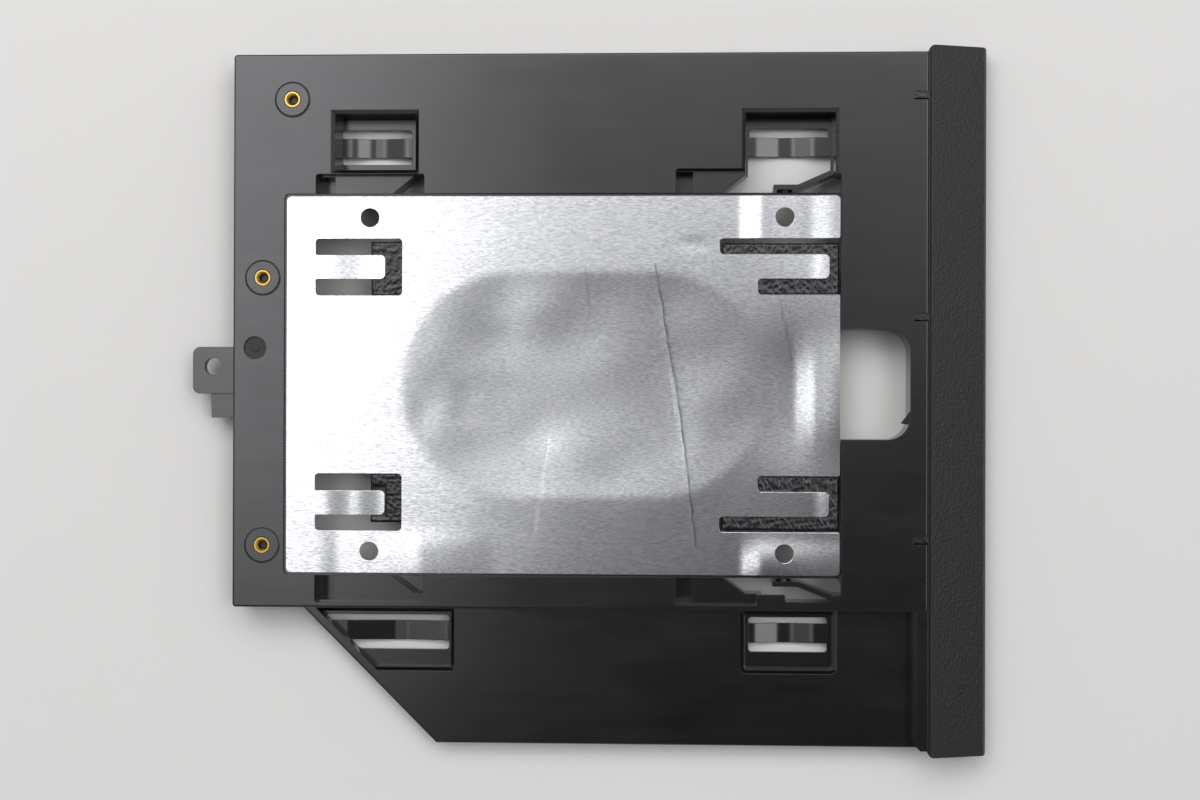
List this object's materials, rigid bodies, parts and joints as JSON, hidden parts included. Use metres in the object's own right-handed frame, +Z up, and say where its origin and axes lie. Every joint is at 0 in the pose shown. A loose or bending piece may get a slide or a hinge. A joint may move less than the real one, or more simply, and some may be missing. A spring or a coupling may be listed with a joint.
{
  "type": "laptop drive caddy",
  "caption": "Flat moulded caddy that carries a 2.5 inch drive in a laptop's slim optical bay, with shield plate, peg arms, spring windows, rear screw tab and front bezel.",
  "frame": {"origin": "middle of the footprint, on the surface that the caddy rests on with its shield plate up", "axes": "+X from the rear screw tab to the front bezel, +Y across the caddy away from the thin wing, +Z up out of the plate side"},
  "size_m": [0.1474, 0.1304, 0.0099],
  "materials": {
    "tray_plastic": "black ABS moulding, satin, with light handling scuffs",
    "bezel_plastic": "black ABS moulding with a fine spark-eroded grain",
    "aluminium_sheet": "mill-finish sheet with a fine grain along the long side",
    "tape": "double-sided adhesive film",
    "foam": "black closed-cell foam with an adhesive face",
    "brass": "turned brass",
    "screw_steel": "black-plated steel",
    "board_laminate": "green solder mask over glass laminate",
    "connector_plastic": "black moulded connector body",
    "contact_gold": "gold-plated contact",
    "component_body": "ceramic and resin component bodies"
  },
  "bodies": {
    "root": {"tray": "tray_plastic", "front_bezel": "bezel_plastic", "shield_plate": "aluminium_sheet", "plate_tape": "tape", "pad_rear_upper": "foam", "pad_rear_lower": "foam", "pad_front_upper": "foam", "pad_front_lower": "foam", "insert_1": "brass", "insert_2": "brass", "insert_3": "brass", "board_screw_1": "screw_steel", "board_screw_2": "screw_steel", "board_screw_3": "screw_steel", "adapter_board": "board_laminate", "drive_socket": "connector_plastic", "drive_socket_contacts": "contact_gold", "bay_plug": "connector_plastic", "bay_plug_contacts": "contact_gold", "board_components": "component_body"}
  },
  "joints": []
}
